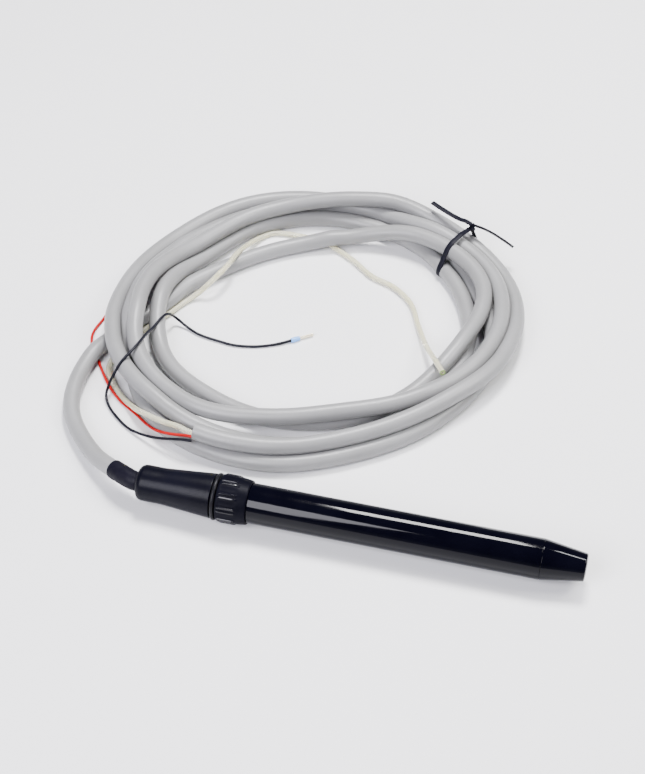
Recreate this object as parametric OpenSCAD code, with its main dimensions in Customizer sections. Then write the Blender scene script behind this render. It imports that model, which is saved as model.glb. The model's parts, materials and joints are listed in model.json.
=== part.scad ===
// Soil moisture sensor: a black probe with a screwed cable connector, on a coil of vented cable.
// The probe lies along X with its nose towards +X. Z = 0 is the surface that everything lies on.

/* [Probe] */
// Length of the probe, from station 0 inside the strain relief to the nose tip
probe_l = 219; // [210:1:240]
// Outer diameter of the probe tube
tube_d = 20; // [19.8:0.1:20.4]
// Inner diameter of the probe tube
tube_bore_d = 16; // [16:0.1:16.4]
// Length of the nose taper
nose_l = 21; // [15:0.5:26]
// Diameter of the nose at its tip
nose_tip_d = 13.5; // [12.5:0.1:15]
// Diameter of the porous filter disc in the nose
filter_d = 10; // [8:0.1:10]

/* [Connector] */
// Largest diameter of the ribbed collar nut, over its ribs
nut_d = 24.6; // [24.4:0.1:26]
// Number of rib pairs round the nut
rib_groups = 10; // [6:1:12]
// Depth of the spaces between the ribs
rib_h = 0.55; // [0.3:0.05:0.6]
// Diameter of the strain relief's rear cylinder
relief_rear_d = 18.1; // [17:0.1:19]
// Diameter of the strain relief's front end
relief_front_d = 22.4; // [21:0.1:23]
// Diameter of the rubber seal ring in front of the strain relief
seal_d = 23.6; // [22.6:0.1:24.2]

/* [Cable] */
// Outer diameter of the cable
cable_d = 8.8; // [8:0.1:8.9]
// Outer diameter of the heat-shrink sleeve
sleeve_d = 9.9; // [9.8:0.1:10]
// Outer radius of the cable coil
coil_r = 119; // [117:1:125]
// Width of the coil's winding, from its inner to its outer edge
coil_w = 59; // [50:1:64]
// Height of the coil's winding
coil_h = 25; // [20:1:28]

/* [Stripped end] */
// Outer diameter of the two insulated wires
wire_d = 1.5; // [1.2:0.1:1.6]
// Outer diameter of the vent tube
vent_d = 3; // [2.6:0.1:3.2]
// Outer diameter of a ferrule's plastic collar
ferrule_collar_d = 2.5; // [2.2:0.1:2.8]
// Length of a ferrule's plastic collar
ferrule_collar_l = 4.5; // [4:0.1:5]
// Outer diameter of a ferrule's metal pin
ferrule_pin_d = 1.1; // [1:0.05:1.2]
// Length of a ferrule's metal pin
ferrule_pin_l = 8; // [6:0.5:10]

/* [Hidden] */
$fn = 64;

// The origin is midway along the probe, on the surface below its axis.
axis_z = nut_d / 2;
// How far the relief's rear face stands behind station 0.
relief_overhang = 2.5;
// Where station 0 is, on X.
start_x = (relief_overhang - probe_l) / 2;
tube_r = tube_d / 2;
bore_r = tube_bore_d / 2;
nut_r = nut_d / 2;
nose_tip_r = nose_tip_d / 2;

// Stations along the probe, measured from start_x.
relief_l = 36.3;
relief_waist = 11;
relief_mouth_r = 5.15;
grommet_start = 10;
grommet_end = 19;
washer_start = 19.1;
washer_end = 20.3;
gland_start = 20.4;
gland_end = 25;
cable_tail_end = 22;
vent_stub_end = 30;
contact_start = 37;
contact_l = 16;
contact_insert_start = 40;
contact_insert_end = 47.4;
socket_insert_start = 49.5;
socket_insert_end = 60;
collar_end = 62;
relief_bore_r = 7;
relief_bore_start = 9.5;
spigot_end = 48;
spigot_root_r = 8.8;
spigot_ridge_r = 9.2;
seal_start = 36.9;
seal_end = 38.8;
nut_start = 39.4;
nut_rib_start = 40;
nut_rib_end = 50.8;
nut_recess_start = 48.3;
nut_recess_end = 51.6;
nut_bevel_start = 51.9;
nut_end = 54.6;
nut_thread_r = 9.4;
nut_recess_r = 10.9;
nut_lip_r = tube_r;
nut_front_r = 11.1;
flange_start = 48.6;
flange_end = 50.6;
flange_r = 10.7;
tube_start = flange_end;
tube_neck_r = tube_r - 0.2;
tube_step = nut_end + 0.2;
taper_start = probe_l - nose_l;
filter_back = probe_l - 4;
filter_t = 2.5;
nose_spigot_start = taper_start - 12;
seal_groove_start = taper_start - 8;
seal_groove_l = 2;
seal_groove_r = bore_r - 1.2;
capsule_start = nose_spigot_start - 18;
capsule_l = 16.2;
retainer_start = capsule_start - 4;
board_start = 58;
contact_circle_r = 3.2;
pin_r = 0.5;
socket_bore_r = 0.6;
socket_r = 1.15;

// The cable's exit and the coil's centre.
exit_point = [start_x - relief_overhang, 0, axis_z];
coil_centre = [-60.8, 136, 0];
cable_r = cable_d / 2;
// Sides of the swept cable, and of the thinner wires and vent tube.
cable_sides = 12;
wire_sides = 8;
tie_angle = 52;

// Route of the cable from the strain relief to where it joins the coil.
lead_route = [
    exit_point, [-113.3, 0, 12.3], [-117.8, 1.8, 12.1], [-122.8, 4.4, 11.5], [-125.6, 6, 10.9],
    [-138.8, 15.7, 7.2], [-150.8, 28, 5.2], [-159.8, 40, 4.4], [-164.8, 52, 4.4], [-166.8, 64, 4.4],
    [-166.8, 76, 4.4], [-164.8, 88, 4.4]
];
// Route of the heat-shrink sleeve, from inside the strain relief along the same line.
sleeve_route = [
    [start_x + 8, 0, axis_z], exit_point, [-113.3, 0, 12.3], [-117.8, 1.8, 12.1], [-122.8, 4.4, 11.5],
    [-125.6, 6, 10.9]
];
// Routes of what comes out of the cable's cut end at the coil's near side.
black_route = [
    [-93.8, 32.5, 12.4], [-103.8, 34, 10], [-112.8, 36, 7], [-121.8, 39, 4], [-130.8, 43, 1.5],
    [-138, 48, 0.8], [-145.5, 55.2, 0.8], [-149.6, 62, 2], [-149.3, 65.2, 4.8], [-147.9, 67.4, 8.5],
    [-144.6, 70.8, 13.6], [-142.2, 75, 17.3], [-138.9, 85, 19.4], [-138.6, 96, 16], [-138.6, 106.2, 11],
    [-137.2, 116.5, 9.5], [-135, 121.5, 8], [-131.8, 125, 3.4], [-124.6, 122.9, 0.8],
    [-116.4, 119.3, 0.8], [-105, 117.2, 0.8], [-95.8, 116.2, 0.8], [-84.8, 118, 0.8], [-74.8, 122, 1.1],
    [-66.8, 127, 1.3]
];
red_route = [
    [-93.8, 34.5, 13.4], [-104.8, 37, 10.5], [-114.8, 41, 7.5], [-122.8, 47, 4.6], [-130.8, 54, 2.5],
    [-140.8, 61, 1.2], [-149.8, 69, 0.8], [-157.8, 79, 0.8], [-164.8, 89, 0.8], [-170.8, 99, 0.8],
    [-172.8, 108, 0.8], [-170.8, 120, 0.8], [-167.8, 140, 0.8], [-162.8, 158, 0.8], [-153.8, 172, 0.8],
    [-143.8, 184, 1.2]
];
vent_route = [
    [-93.8, 36.8, 12.6], [-102.8, 41, 12], [-112.8, 44.5, 10], [-122.8, 50, 7.5], [-131.8, 56.5, 4],
    [-140.8, 63, 1.8], [-150.8, 74, 1.6], [-155.9, 86, 1.6], [-150.8, 108, 1.6], [-139.7, 131.3, 1.6],
    [-132.2, 143, 3], [-125.5, 148.5, 8], [-120, 151.5, 14.5], [-115.7, 156.5, 18.5],
    [-113.1, 165.3, 18.5], [-112.1, 177.2, 15], [-110.3, 190.5, 9.5], [-107.4, 200.7, 5],
    [-103, 207.6, 2.2], [-98, 210.6, 1.6], [-88.8, 211.4, 1.6], [-76.8, 210, 1.6], [-63.8, 206, 1.6],
    [-50.8, 199, 1.6], [-36.8, 188, 1.6], [-22.8, 182, 1.6], [-10.8, 171, 1.6], [-2.8, 154, 3],
    [5.2, 136, 7], [12.2, 122, 11], [19.2, 111, 12.5]
];

// Ferrules: a start point, and a heading in degrees from +X.
black_ferrule_at = black_route[len(black_route) - 1];
black_ferrule_heading = 36;
red_ferrule_at = red_route[len(red_route) - 1];
red_ferrule_heading = 51;

// Twist tie: a flat strip round the coil's section, a knot on its outer edge and two free tails.
tie_w = 2.6;
tie_t = 0.7;
tie_inner_r = 84;
tie_outer_r = 118;
tie_knot = [10.7, 225, 22];
tie_tail_a = [-12.8, 234, 24.5];
tie_tail_b = [37.2, 217, 14.5];

// A ring from radius r_in to r_out between two stations of the probe.
module ring_at(s0, s1, r_out, r_in) {
    translate([start_x + s0, 0, axis_z])
        rotate([0, 90, 0])
            difference() {
                cylinder(h = s1 - s0, r = r_out);
                translate([0, 0, -1])
                    cylinder(h = s1 - s0 + 2, r = r_in);
            }
}

// A solid disc between two stations of the probe.
module disc_at(s0, s1, r) {
    translate([start_x + s0, 0, axis_z])
        rotate([0, 90, 0])
            cylinder(h = s1 - s0, r = r);
}

// A turned piece on the probe's axis: points are [station, radius] pairs.
module turned(points) {
    translate([start_x, 0, axis_z])
        rotate([0, 90, 0])
            rotate_extrude()
                polygon([for (p = points) [p[1], p[0]]]);
}

// An O-ring of section radius minor at a station of the probe.
module o_ring(s, major, minor) {
    translate([start_x + s, 0, axis_z])
        rotate([0, 90, 0])
            rotate_extrude()
                translate([major, 0])
                    circle(r = minor, $fn = 32);
}

// The children at each of the four contact places.
module at_contacts(s) {
    for (a = [45 : 90 : 315])
        translate([start_x + s, contact_circle_r * cos(a), axis_z + contact_circle_r * sin(a)])
            rotate([0, 90, 0])
                children();
}

// Unit vector of v.
function unit(v) = v / norm(v);

// Direction of a route at point i.
function heading(route, i) =
    unit(route[min(i + 1, len(route) - 1)] - route[max(i - 1, 0)]);

// Horizontal direction square to a heading.
function side_of(t) = unit(cross(t, [0, 0, 1]));

// One ring of a swept tube, with its plane square to the route.
function sweep_ring(route, i, r, sides) =
    let (t = heading(route, i), s = side_of(t), u = cross(s, t))
    [for (k = [0 : sides - 1]) route[i] + r * (cos(360 * k / sides) * s + sin(360 * k / sides) * u)];

// A closed round tube swept along a route.
module swept(route, d, sides) {
    n = len(route);
    points = [for (i = [0 : n - 1]) each sweep_ring(route, i, d / 2, sides)];
    walls = [
        for (i = [0 : n - 2])
            for (k = [0 : sides - 1])
                [i * sides + k, i * sides + (k + 1) % sides,
                    (i + 1) * sides + (k + 1) % sides, (i + 1) * sides + k]
    ];
    start_cap = [for (k = [sides - 1 : -1 : 0]) k];
    end_cap = [for (k = [0 : sides - 1]) (n - 1) * sides + k];
    polyhedron(points = points, faces = concat(walls, [start_cap], [end_cap]), convexity = 10);
}

// Children laid along X from a point, at a heading in the horizontal plane.
module laid(at, angle) {
    translate(at)
        rotate([0, 0, angle])
            rotate([0, 90, 0])
                children();
}

// A flat strip between two points, with its width upright.
module strip(p, q) {
    d = q - p;
    translate(p)
        rotate([0, 0, atan2(d[1], d[0])])
            rotate([0, -atan2(d[2], norm([d[0], d[1]])), 0])
                translate([0, -tie_t / 2, -tie_w / 2])
                    cube([norm(d), tie_t, tie_w]);
}

// Rectangle of size [x, y] with corners of radius r.
module soft_rect(size, r) {
    translate([r, 0])
        square([size[0] - 2 * r, size[1]]);
    translate([0, r])
        square([size[0], size[1] - 2 * r]);
    for (x = [r, size[0] - r])
        for (y = [r, size[1] - r])
            translate([x, y])
                circle(r = r);
}

module strain_relief() {
    ridge_count = 7;
    ridge_start = 39.4;
    ridge_pitch = 1.2;
    ridge_l = ridge_pitch / 2;
    color("#17181b") {
        turned([
            [-relief_overhang, relief_mouth_r], [-relief_overhang, 6.4], [0.9 - relief_overhang, 8.0],
            [2.6 - relief_overhang, relief_rear_d / 2], [relief_waist, relief_rear_d / 2],
            [relief_l, relief_front_d / 2], [relief_l, spigot_root_r], [spigot_end, spigot_root_r],
            [spigot_end, relief_bore_r], [relief_bore_start, relief_bore_r],
            [relief_bore_start, relief_mouth_r]
        ]);
        for (k = [0 : ridge_count - 1])
            ring_at(
                ridge_start + k * ridge_pitch, ridge_start + k * ridge_pitch + ridge_l,
                spigot_ridge_r, spigot_root_r - 0.4
            );
    }
}

module heat_shrink_sleeve() {
    last = len(sleeve_route) - 1;
    overrun = (sleeve_route[last] - sleeve_route[last - 1]) / 4;
    bore_route = concat(
        [sleeve_route[0] + [1, 0, 0]],
        [for (i = [1 : last]) sleeve_route[i]],
        [sleeve_route[last] + overrun]
    );
    color("#101114")
        difference() {
            swept(sleeve_route, sleeve_d, cable_sides);
            swept(bore_route, cable_d + 0.4, cable_sides);
        }
}

module cable_tail() {
    color("#c6c6c6")
        disc_at(-relief_overhang, cable_tail_end, cable_r);
}

module cable_grommet() {
    color("#2a2a2a")
        ring_at(grommet_start, grommet_end, relief_bore_r - 0.05, cable_r);
}

module clamp_washer() {
    color("silver")
        ring_at(washer_start, washer_end, relief_bore_r - 0.2, cable_r + 0.1);
}

module gland_screw() {
    color("#c9b06a")
        ring_at(gland_start, gland_end, relief_bore_r - 0.02, cable_r + 0.3);
}

module inner_cores() {
    color("#b03030")
        for (a = [45, 225])
            translate([
                start_x + cable_tail_end, contact_circle_r * cos(a), axis_z + contact_circle_r * sin(a)
            ])
                rotate([0, 90, 0])
                    cylinder(h = contact_start - cable_tail_end, r = wire_d / 2, $fn = 24);
    color("#d8dcc8")
        disc_at(cable_tail_end, vent_stub_end, vent_d / 2);
}

module contact_insert() {
    color("#303236")
        difference() {
            disc_at(contact_insert_start, contact_insert_end, relief_bore_r - 0.02);
            at_contacts(contact_insert_start - 1)
                cylinder(h = contact_insert_end - contact_insert_start + 2, r = pin_r, $fn = 32);
        }
}

module contact_pins() {
    color("#d8b860")
        at_contacts(contact_start)
            cylinder(h = contact_l, r = pin_r, $fn = 32);
}

module seal_ring() {
    seal_r = seal_d / 2;
    color("#141416")
        turned([
            [seal_start, spigot_root_r], [seal_start, seal_r - 0.8], [seal_start + 0.4, seal_r - 0.25],
            [seal_start + 0.8, seal_r], [seal_end - 0.8, seal_r], [seal_end - 0.4, seal_r - 0.25],
            [seal_end, seal_r - 0.8], [seal_end, spigot_root_r]
        ]);
}

module cable_lead() {
    color("#c6c6c6")
        swept(lead_route, cable_d, cable_sides);
}

module cable_coil() {
    color("#c6c6c6")
        translate(coil_centre)
            rotate_extrude($fn = 128)
                translate([coil_r - coil_w, 0])
                    soft_rect([coil_w, coil_h], 4);
}

module black_wire() {
    color("#141414")
        swept(black_route, wire_d, wire_sides);
}

module red_wire() {
    color("#c01018")
        swept(red_route, wire_d, wire_sides);
}

module vent_tube() {
    color("#dfe0cc")
        swept(vent_route, vent_d, wire_sides);
}

module ferrule_collar(at, angle) {
    color("#9cc4e4")
        laid(at, angle)
            cylinder(h = ferrule_collar_l, r = ferrule_collar_d / 2, $fn = 32);
}

module ferrule_pin(at, angle) {
    color("#d6d6d6")
        laid(at + ferrule_collar_l * [cos(angle), sin(angle), 0], angle)
            cylinder(h = ferrule_pin_l, r = ferrule_pin_d / 2, $fn = 32);
}

module black_ferrule_collar() {
    ferrule_collar(black_ferrule_at, black_ferrule_heading);
}

module black_ferrule_pin() {
    ferrule_pin(black_ferrule_at, black_ferrule_heading);
}

module red_ferrule_collar() {
    ferrule_collar(red_ferrule_at, red_ferrule_heading);
}

module red_ferrule_pin() {
    ferrule_pin(red_ferrule_at, red_ferrule_heading);
}

module twist_tie() {
    loop_w = tie_outer_r - tie_inner_r;
    loop_h = tie_knot[2] + tie_t;
    corner_r = 5;
    knot_r = 2.2;
    color("#101012") {
        translate(coil_centre)
            rotate([0, 0, tie_angle])
                translate([tie_inner_r, tie_w / 2, 0])
                    rotate([90, 0, 0])
                        linear_extrude(tie_w)
                            difference() {
                                soft_rect([loop_w, loop_h], corner_r);
                                translate([tie_t, tie_t])
                                    soft_rect([loop_w - 2 * tie_t, loop_h - 2 * tie_t], corner_r - tie_t);
                            }
        translate(tie_knot)
            sphere(r = knot_r);
        strip(tie_knot, tie_tail_a);
        strip(tie_knot, tie_tail_b);
    }
}

module probe_tube() {
    color("#0b0c10")
        turned([
            [tube_start, bore_r], [tube_start, tube_neck_r], [tube_step, tube_neck_r], [tube_step, tube_r],
            [taper_start, tube_r], [taper_start, bore_r]
        ]);
}

module nose_cone() {
    conduit_r = 2;
    color("#0b0c10")
        turned([
            [nose_spigot_start, conduit_r], [nose_spigot_start, bore_r], [seal_groove_start, bore_r],
            [seal_groove_start, seal_groove_r], [seal_groove_start + seal_groove_l, seal_groove_r],
            [seal_groove_start + seal_groove_l, bore_r], [taper_start, bore_r], [taper_start, tube_r],
            [probe_l - 0.6, nose_tip_r + 0.1], [probe_l, nose_tip_r - 0.5], [probe_l, filter_d / 2],
            [filter_back, filter_d / 2], [filter_back, conduit_r]
        ]);
}

module filter_disc() {
    color("#8d8d86")
        disc_at(filter_back, filter_back + filter_t, filter_d / 2);
}

module nose_seal() {
    nose_seal_r = 0.6;
    color("#202020")
        o_ring(seal_groove_start + seal_groove_l / 2, bore_r - nose_seal_r, nose_seal_r);
}

module pressure_capsule() {
    color("#b9bcc0") {
        disc_at(capsule_start, capsule_start + capsule_l, bore_r - 0.4);
        disc_at(capsule_start - 2, capsule_start, 3);
    }
}

module capsule_seal() {
    seal_r = 0.9;
    ring_r = 5.5;
    color("#202020")
        o_ring(capsule_start + capsule_l + seal_r, ring_r, seal_r);
}

module retaining_ring() {
    retainer_l = 3.9;
    color("#c9b06a")
        ring_at(retainer_start, retainer_start + retainer_l, bore_r - 0.02, 5);
}

module circuit_board() {
    board_w = 9.6;
    board_t = 1.6;
    board_end = capsule_start - 2;
    color("#1f6b3a")
        translate([start_x + board_start, -board_w / 2, axis_z - board_t / 2])
            cube([board_end - board_start, board_w, board_t]);
}

module board_parts() {
    top_z = axis_z + 0.8;
    // Each chip's place along the board, length, width and height.
    chips = [
        [8, 6, 6, 1.4], [22, 8, 5, 1.6], [38, 4, 4, 1.2], [50, 3, 2, 1], [58, 3, 2, 1], [66, 10, 6, 1.5]
    ];
    color("#26282c")
        for (c = chips)
            translate([start_x + board_start + c[0], -c[2] / 2, top_z])
                cube([c[1], c[2], c[3]]);
    color("#c8c8c8")
        for (x = [82, 89])
            translate([start_x + board_start + x, 0, top_z])
                cylinder(h = 4, r = 2);
}

module socket_insert() {
    slot_w = 9.7;
    slot_h = 1.7;
    insert_r = 6.48;
    color("#303236")
        difference() {
            disc_at(socket_insert_start, socket_insert_end, insert_r);
            at_contacts(socket_insert_start - 0.5)
                cylinder(h = socket_insert_end - socket_insert_start + 1.5, r = socket_r, $fn = 32);
            translate([start_x + board_start - 0.1, -slot_w / 2, axis_z - slot_h / 2])
                cube([3, slot_w, slot_h]);
        }
}

module socket_contacts() {
    socket_l = 7.4;
    color("#d8b860")
        at_contacts(socket_insert_start + 0.1)
            difference() {
                cylinder(h = socket_l, r = socket_r, $fn = 32);
                translate([0, 0, -1])
                    cylinder(h = socket_l - 1.4, r = socket_bore_r, $fn = 32);
            }
}

module shaft_collar() {
    collar_bore_r = 6.5;
    collar_r = bore_r - 0.01;
    color("#2c2e33")
        turned([
            [flange_start, collar_bore_r], [flange_start, flange_r], [flange_end, flange_r],
            [flange_end, collar_r], [collar_end, collar_r], [collar_end, collar_bore_r]
        ]);
}

module coupling_nut() {
    groove_r = nut_r - rib_h;
    rib_w = 1.2;
    rib_gap = 9.6;
    color("#131418")
        difference() {
            union() {
                turned([
                    [nut_start, nut_thread_r], [nut_start, groove_r - 0.6], [nut_start + 0.6, groove_r],
                    [nut_rib_end, groove_r], [nut_rib_end, nut_r], [nut_bevel_start, nut_r],
                    [nut_end, nut_front_r], [nut_end, nut_lip_r], [nut_recess_end, nut_lip_r],
                    [nut_recess_end, nut_thread_r]
                ]);
                translate([start_x + nut_rib_start, 0, axis_z])
                    rotate([0, 90, 0])
                        linear_extrude(nut_rib_end - nut_rib_start)
                            intersection() {
                                circle(r = nut_r);
                                for (g = [0 : rib_groups - 1])
                                    for (side = [-1, 1])
                                        rotate(g * 360 / rib_groups + side * rib_gap / 2)
                                            translate([groove_r - 0.5, -rib_w / 2])
                                                square([rib_h + 1, rib_w]);
                            }
            }
            disc_at(nut_start - 1, nut_recess_start, nut_thread_r);
            disc_at(nut_recess_start, nut_recess_end, nut_recess_r);
        }
}

module slip_ring() {
    color("#d0d0c8")
        ring_at(flange_end + 0.1, nut_recess_end - 0.1, nut_recess_r - 0.1, tube_neck_r + 0.15);
}

strain_relief();
heat_shrink_sleeve();
cable_tail();
cable_grommet();
clamp_washer();
gland_screw();
inner_cores();
contact_insert();
contact_pins();
seal_ring();
cable_lead();
cable_coil();
black_wire();
red_wire();
vent_tube();
black_ferrule_collar();
black_ferrule_pin();
red_ferrule_collar();
red_ferrule_pin();
twist_tie();
probe_tube();
nose_cone();
filter_disc();
nose_seal();
pressure_capsule();
capsule_seal();
retaining_ring();
circuit_board();
board_parts();
socket_insert();
socket_contacts();
shaft_collar();
coupling_nut();
slip_ring();
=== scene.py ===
"""Looks of a soil moisture sensor: black probe, coiled grey vented cable and its stripped end.

Everything is in metres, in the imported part's own frame. Sizes marked _MM are millimetres.
"""
import json
import math

import bpy
import numpy as np
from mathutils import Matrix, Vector


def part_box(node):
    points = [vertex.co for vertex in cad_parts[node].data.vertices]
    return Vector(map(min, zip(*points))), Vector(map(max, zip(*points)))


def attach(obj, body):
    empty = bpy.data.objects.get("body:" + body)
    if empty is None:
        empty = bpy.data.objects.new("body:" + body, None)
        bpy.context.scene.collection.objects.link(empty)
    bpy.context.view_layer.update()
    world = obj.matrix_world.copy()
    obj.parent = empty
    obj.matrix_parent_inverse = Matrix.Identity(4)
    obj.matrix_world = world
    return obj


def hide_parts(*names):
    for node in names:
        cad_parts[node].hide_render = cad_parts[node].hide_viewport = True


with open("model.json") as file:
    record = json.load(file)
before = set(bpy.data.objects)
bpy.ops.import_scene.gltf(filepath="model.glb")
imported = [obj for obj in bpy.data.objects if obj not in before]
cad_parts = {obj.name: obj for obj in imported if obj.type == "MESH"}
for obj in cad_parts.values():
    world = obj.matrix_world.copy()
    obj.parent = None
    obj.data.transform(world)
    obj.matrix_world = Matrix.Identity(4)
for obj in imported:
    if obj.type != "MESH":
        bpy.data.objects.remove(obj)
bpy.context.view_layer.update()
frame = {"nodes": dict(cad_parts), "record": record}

MM = 0.001
CABLE_SIDE = "cable_side"
SHAFT = "probe_shaft"
NUT = "collar_nut"

# Driving sizes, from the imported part
relief_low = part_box("strain_relief")[0]
nose_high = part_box("nose_cone")[1]
nut_low, nut_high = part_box("coupling_nut")
RELIEF_OVERHANG_MM = 2.5
REAR = relief_low.x
STATION_0_MM = REAR / MM + RELIEF_OVERHANG_MM
TIP = nose_high.x
AXIS_Z = (nut_low.z + nut_high.z) / 2
PROBE_MM = TIP / MM - STATION_0_MM
CABLE_D_MM = 8.8
WIRE_D_MM = 1.5
CABLE_R_MM = CABLE_D_MM / 2
VENT_D_MM = 3.0


# ---------------------------------------------------------------- camera, floor and light

def look_rotation(azimuth, elevation):
    """Rotation of a camera that looks back along a direction, azimuth 0 being along +Y."""
    return (math.pi / 2 - elevation, 0, azimuth)


def make_camera():
    azimuth = math.radians(14.26)
    elevation = math.radians(45)
    distance = 0.961
    target = Vector((-0.0423, 0.0978, 0))
    back = Vector((
        math.sin(azimuth) * math.cos(elevation),
        -math.cos(azimuth) * math.cos(elevation),
        math.sin(elevation),
    ))
    data = bpy.data.cameras.new("camera")
    data.sensor_width = 36
    data.lens = 84.9
    camera = bpy.data.objects.new("camera", data)
    camera.location = target + distance * back
    camera.rotation_euler = look_rotation(azimuth, elevation)
    bpy.context.scene.collection.objects.link(camera)
    bpy.context.scene.camera = camera


make_camera()


def area_light(name, place, aim, size, power, color):
    """A softbox at a place in metres, turned towards the point aim. Its size is (width, height)."""
    data = bpy.data.lights.new(name, "AREA")
    data.shape = "RECTANGLE"
    data.size, data.size_y = size
    data.energy = power
    data.color = color
    lamp = bpy.data.objects.new(name, data)
    lamp.location = place
    lamp.rotation_euler = (Vector(aim) - Vector(place)).to_track_quat("-Z", "Y").to_euler()
    bpy.context.scene.collection.objects.link(lamp)


def make_lights():
    area_light("overhead_box", (-0.045, 0.54, 1.21), (0.02, 0, 0.01), (0.34, 0.37), 38, (1.0, 0.99, 1.0))
    area_light("front_box", (-0.53, -0.90, 0.94), (-0.09, 0, 0.01), (0.73, 0.85), 40, (0.93, 0.92, 1.0))
    area_light("fill_box", (0.9, 0.3, 1.0), (-0.05, 0.1, 0), (0.5, 0.5), 18, (1.0, 0.99, 0.96))
    area_light("nose_box", (0.42, 0.50, 1.06), (0.10, 0, 0.01), (0.24, 0.10), 5, (0.95, 0.96, 1.0))


def make_world():
    """A dim studio, brighter round the horizon than overhead."""
    world = bpy.data.worlds.new("studio")
    bpy.context.scene.world = world
    world.use_nodes = True
    tree = world.node_tree
    background = tree.nodes["Background"]
    coords = tree.nodes.new("ShaderNodeTexCoord")
    parts = tree.nodes.new("ShaderNodeSeparateXYZ")
    fade = tree.nodes.new("ShaderNodeValToRGB")
    fade.color_ramp.elements[0].position = 0.02
    fade.color_ramp.elements[0].color = (0.50, 0.52, 0.58, 1)
    fade.color_ramp.elements[1].position = 0.35
    fade.color_ramp.elements[1].color = (0.045, 0.048, 0.062, 1)
    background.inputs["Strength"].default_value = 1.0
    tree.links.new(coords.outputs["Generated"], parts.inputs["Vector"])
    tree.links.new(parts.outputs["Z"], fade.inputs["Fac"])
    tree.links.new(fade.outputs["Color"], background.inputs["Color"])


make_lights()
make_world()


# ---------------------------------------------------------------- routes of the cords

# Routes in millimetres, as in the part. First the cable, from the strain relief to the coil.
LEAD_MM = [
    (REAR / MM, 0, AXIS_Z / MM), (-113.3, 0, 12.3), (-117.8, 1.8, 12.1), (-122.8, 4.4, 11.5),
    (-125.6, 6, 10.9), (-138.8, 15.7, 7.2), (-150.8, 28, 5.2), (-159.8, 40, 4.4), (-164.8, 52, 4.4),
    (-166.8, 64, 4.4), (-166.8, 76, 4.4), (-164.8, 88, 4.4),
]
# From there the cable runs under the left strands to the first turn.
JOIN_MM = [(-160.3, 99, 4.4), (-153.8, 111, 4.4), (-146.3, 123, 4.4), (-139.3, 136, 4.4)]
# The two wires and the vent tube, from the cable's cut end to their own ends.
BLACK_MM = [
    (-93.8, 32.5, 12.4), (-103.8, 34, 10), (-112.8, 36, 7), (-121.8, 39, 4), (-130.8, 43, 1.5),
    (-138, 48, 0.8), (-145.5, 55.2, 0.8), (-149.6, 62, 2), (-149.3, 65.2, 4.8), (-147.9, 67.4, 8.5),
    (-144.6, 70.8, 13.6), (-142.2, 75, 17.3), (-138.9, 85, 19.4), (-138.6, 96, 16), (-138.6, 106.2, 11),
    (-137.2, 116.5, 9.5), (-135, 121.5, 8), (-131.8, 125, 3.4), (-124.6, 122.9, 0.8),
    (-116.4, 119.3, 0.8), (-105, 117.2, 0.8), (-95.8, 116.2, 0.8), (-84.8, 118, 0.8), (-74.8, 122, 1.1),
    (-66.8, 127, 1.3),
]
RED_MM = [
    (-93.8, 34.5, 13.4), (-104.8, 37, 10.5), (-114.8, 41, 7.5), (-122.8, 47, 4.6), (-130.8, 54, 2.5),
    (-140.8, 61, 1.2), (-149.8, 69, 0.8), (-157.8, 79, 0.8), (-164.8, 89, 0.8), (-170.8, 99, 0.8),
    (-172.8, 108, 0.8), (-170.8, 120, 0.8), (-167.8, 140, 0.8), (-162.8, 158, 0.8), (-153.8, 172, 0.8),
    (-143.8, 184, 1.2),
]
# The vent tube's last point lies a few millimetres past the part's own.
VENT_MM = [
    (-93.8, 36.8, 12.6), (-102.8, 41, 12), (-112.8, 44.5, 10), (-122.8, 50, 7.5), (-131.8, 56.5, 4),
    (-140.8, 63, 1.8), (-150.8, 74, 1.6), (-155.9, 86, 1.6), (-150.8, 108, 1.6), (-139.7, 131.3, 1.6),
    (-132.2, 143, 3), (-125.5, 148.5, 8), (-120, 151.5, 14.5), (-115.7, 156.5, 18.5),
    (-113.1, 165.3, 18.5), (-112.1, 177.2, 15), (-110.3, 190.5, 9.5), (-107.4, 200.7, 5),
    (-103, 207.6, 2.2), (-98, 210.6, 1.6), (-88.8, 211.4, 1.6), (-76.8, 210, 1.6), (-63.8, 206, 1.6),
    (-50.8, 199, 1.6), (-36.8, 188, 1.6), (-22.8, 182, 1.6), (-10.8, 171, 1.6), (-2.8, 154, 3),
    (5.2, 136, 7), (12.2, 122, 11), (20.4, 106.5, 15),
]

# The coil: one row per turn, one column every 30 degrees, clockwise from the -X side.
COIL_CENTRE_MM = (-60.8, 136)
COIL_START = 12
COIL_END = 4 * 360 + 288.5
COIL_POINTS = 344
TURN_RADII_MM = [
    [78, 67, 66, 74, 92, 100, 86, 76, 73, 72, 73, 79],
    [81, 80, 89, 93, 92, 89, 86, 84, 86, 90, 97, 103],
    [101, 104, 110, 106, 99, 97, 101, 97, 96, 102, 103.5, 97],
    [96, 97, 100, 102, 103, 108, 100, 85, 74, 77, 89, 94],
    [90, 84, 90, 94, 106, 115, 108, 95, 91, 98, 106, 112],
]
TURN_HEIGHTS_MM = [
    [4, 4, 4, 6, 15, 15, 12, 5, 4, 4, 4, 4],
    [13, 7, 4, 4, 4, 4, 4, 4, 4, 4, 8, 13],
    [13, 7, 4, 4, 4, 4, 4, 4, 4, 4, 4, 8],
    [13, 7, 6, 10, 11, 11, 12, 12, 12, 12, 12, 14],
    [18, 13, 12, 16, 12, 10, 16, 16, 14, 13, 14, 14],
]


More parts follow.
